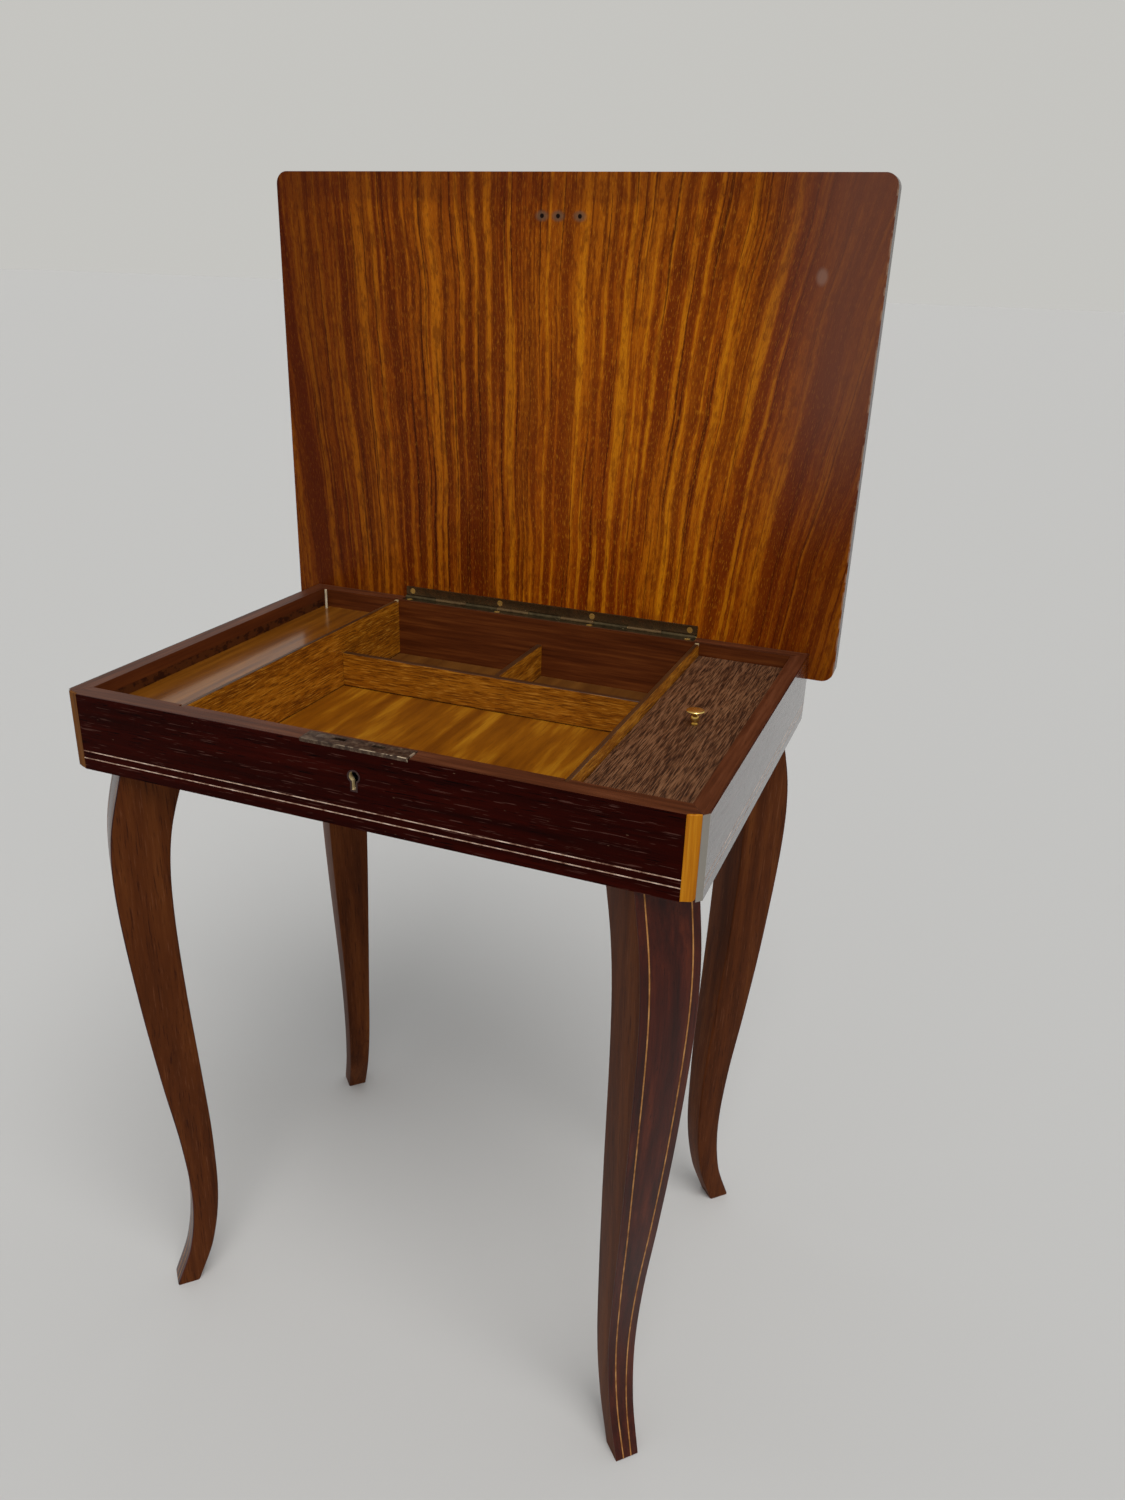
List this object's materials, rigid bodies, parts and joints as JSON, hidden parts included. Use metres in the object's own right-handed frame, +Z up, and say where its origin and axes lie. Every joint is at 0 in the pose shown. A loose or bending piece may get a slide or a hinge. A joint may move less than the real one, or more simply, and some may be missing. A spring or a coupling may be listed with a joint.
{
  "type": "lift-top side table",
  "caption": "Small inlaid table with a shallow lidded case on cabriole legs: hinged lid, lock, tray over a musical movement, cells and a lift-out panel with a turned knob.",
  "frame": {"origin": "on the floor, under the middle of the open table's bounding box", "axes": "+Z up, -Y the front with the lock, +X the side with the lift-out panel"},
  "size_m": [0.463, 0.3208, 0.836],
  "materials": {
    "rosewood_veneer": "gloss",
    "red_mahogany": "satin",
    "rim_wood": "satin",
    "satinwood": "gloss",
    "maple_line": "gloss",
    "varnished_oak": "satin",
    "golden_floor": "satin",
    "pine": "matte",
    "wenge": "satin",
    "ribbon_sapele": "satin",
    "aged_brass": "dull",
    "bright_brass": "polished",
    "steel": "satin"
  },
  "bodies": {
    "case": {"rail_front": "rim_wood", "rail_back": "rim_wood", "rail_left": "rim_wood", "rail_right": "rim_wood", "bottom_board": "pine", "veneer_front": "rosewood_veneer", "veneer_left": "rosewood_veneer", "veneer_right": "rosewood_veneer", "corner_strip_left": "satinwood", "corner_strip_right": "satinwood", "stringing_front": "maple_line", "stringing_left": "maple_line", "stringing_right": "maple_line", "divider_left": "varnished_oak", "divider_right": "varnished_oak", "divider_cross": "varnished_oak", "divider_small": "varnished_oak", "tray_floor": "golden_floor", "tray_ledges": "pine", "middle_floor": "golden_floor", "panel_ledges": "pine", "leg_front_left": "red_mahogany", "leg_front_right": "red_mahogany", "leg_back_left": "red_mahogany", "leg_back_right": "red_mahogany", "leg_face_front_left": "rosewood_veneer", "leg_face_front_right": "rosewood_veneer", "leg_face_back_left": "rosewood_veneer", "leg_face_back_right": "rosewood_veneer", "leg_lines_front_left": "maple_line", "leg_lines_front_right": "maple_line", "leg_lines_back_left": "maple_line", "leg_lines_back_right": "maple_line", "corner_blocks": "pine", "leg_bolts": "steel", "leg_nuts": "steel", "hinge_leaf_case": "aged_brass", "hinge_pin": "aged_brass", "hinge_screws_case": "bright_brass", "lock_case": "steel", "lock_plate": "aged_brass", "lock_screws": "bright_brass", "keyhole_liner": "bright_brass", "movement_bed": "aged_brass", "movement_comb": "steel", "movement_barrel": "bright_brass", "movement_governor": "aged_brass"},
    "lid": {"lid_core": "pine", "lid_lining": "ribbon_sapele", "lid_veneer": "rosewood_veneer", "lid_lipping": "rosewood_veneer", "hinge_leaf_lid": "aged_brass", "hinge_screws_lid": "bright_brass"},
    "panel": {"lift_panel": "wenge", "knob": "bright_brass"},
    "lock_bolt": {"lock_bolt": "aged_brass"},
    "stop_rod": {"stop_rod": "steel"},
    "movement_cylinder": {"movement_cylinder": "bright_brass"},
    "winding_key": {"winding_key": "aged_brass"}
  },
  "joints": [
    {"name": "lid_hinge", "type": "hinge", "parent": "case", "child": "lid", "pos_m": [0, 0.14498, 0.516], "axis": [1, 0, 0], "range_deg": [0, 90]},
    {"name": "panel_lift", "type": "slide", "parent": "case", "child": "panel", "axis": [0, 0, 1], "range_m": [0, 0.08]},
    {"name": "bolt_slide", "type": "slide", "parent": "case", "child": "lock_bolt", "axis": [1, 0, 0], "range_m": [0, 0.005]},
    {"name": "rod_press", "type": "slide", "parent": "case", "child": "stop_rod", "axis": [0, 0, -1], "range_m": [0, 0.003], "stiffness_N_per_m": 150, "springref_m": -0.002},
    {"name": "cylinder_turn", "type": "hinge", "parent": "case", "child": "movement_cylinder", "pos_m": [-0.1715, -0.01102, 0.482], "axis": [0, 1, 0], "continuous": true},
    {"name": "key_turn", "type": "hinge", "parent": "case", "child": "winding_key", "pos_m": [-0.1655, 0.02898, 0.46], "axis": [0, 0, 1], "continuous": true}
  ]
}
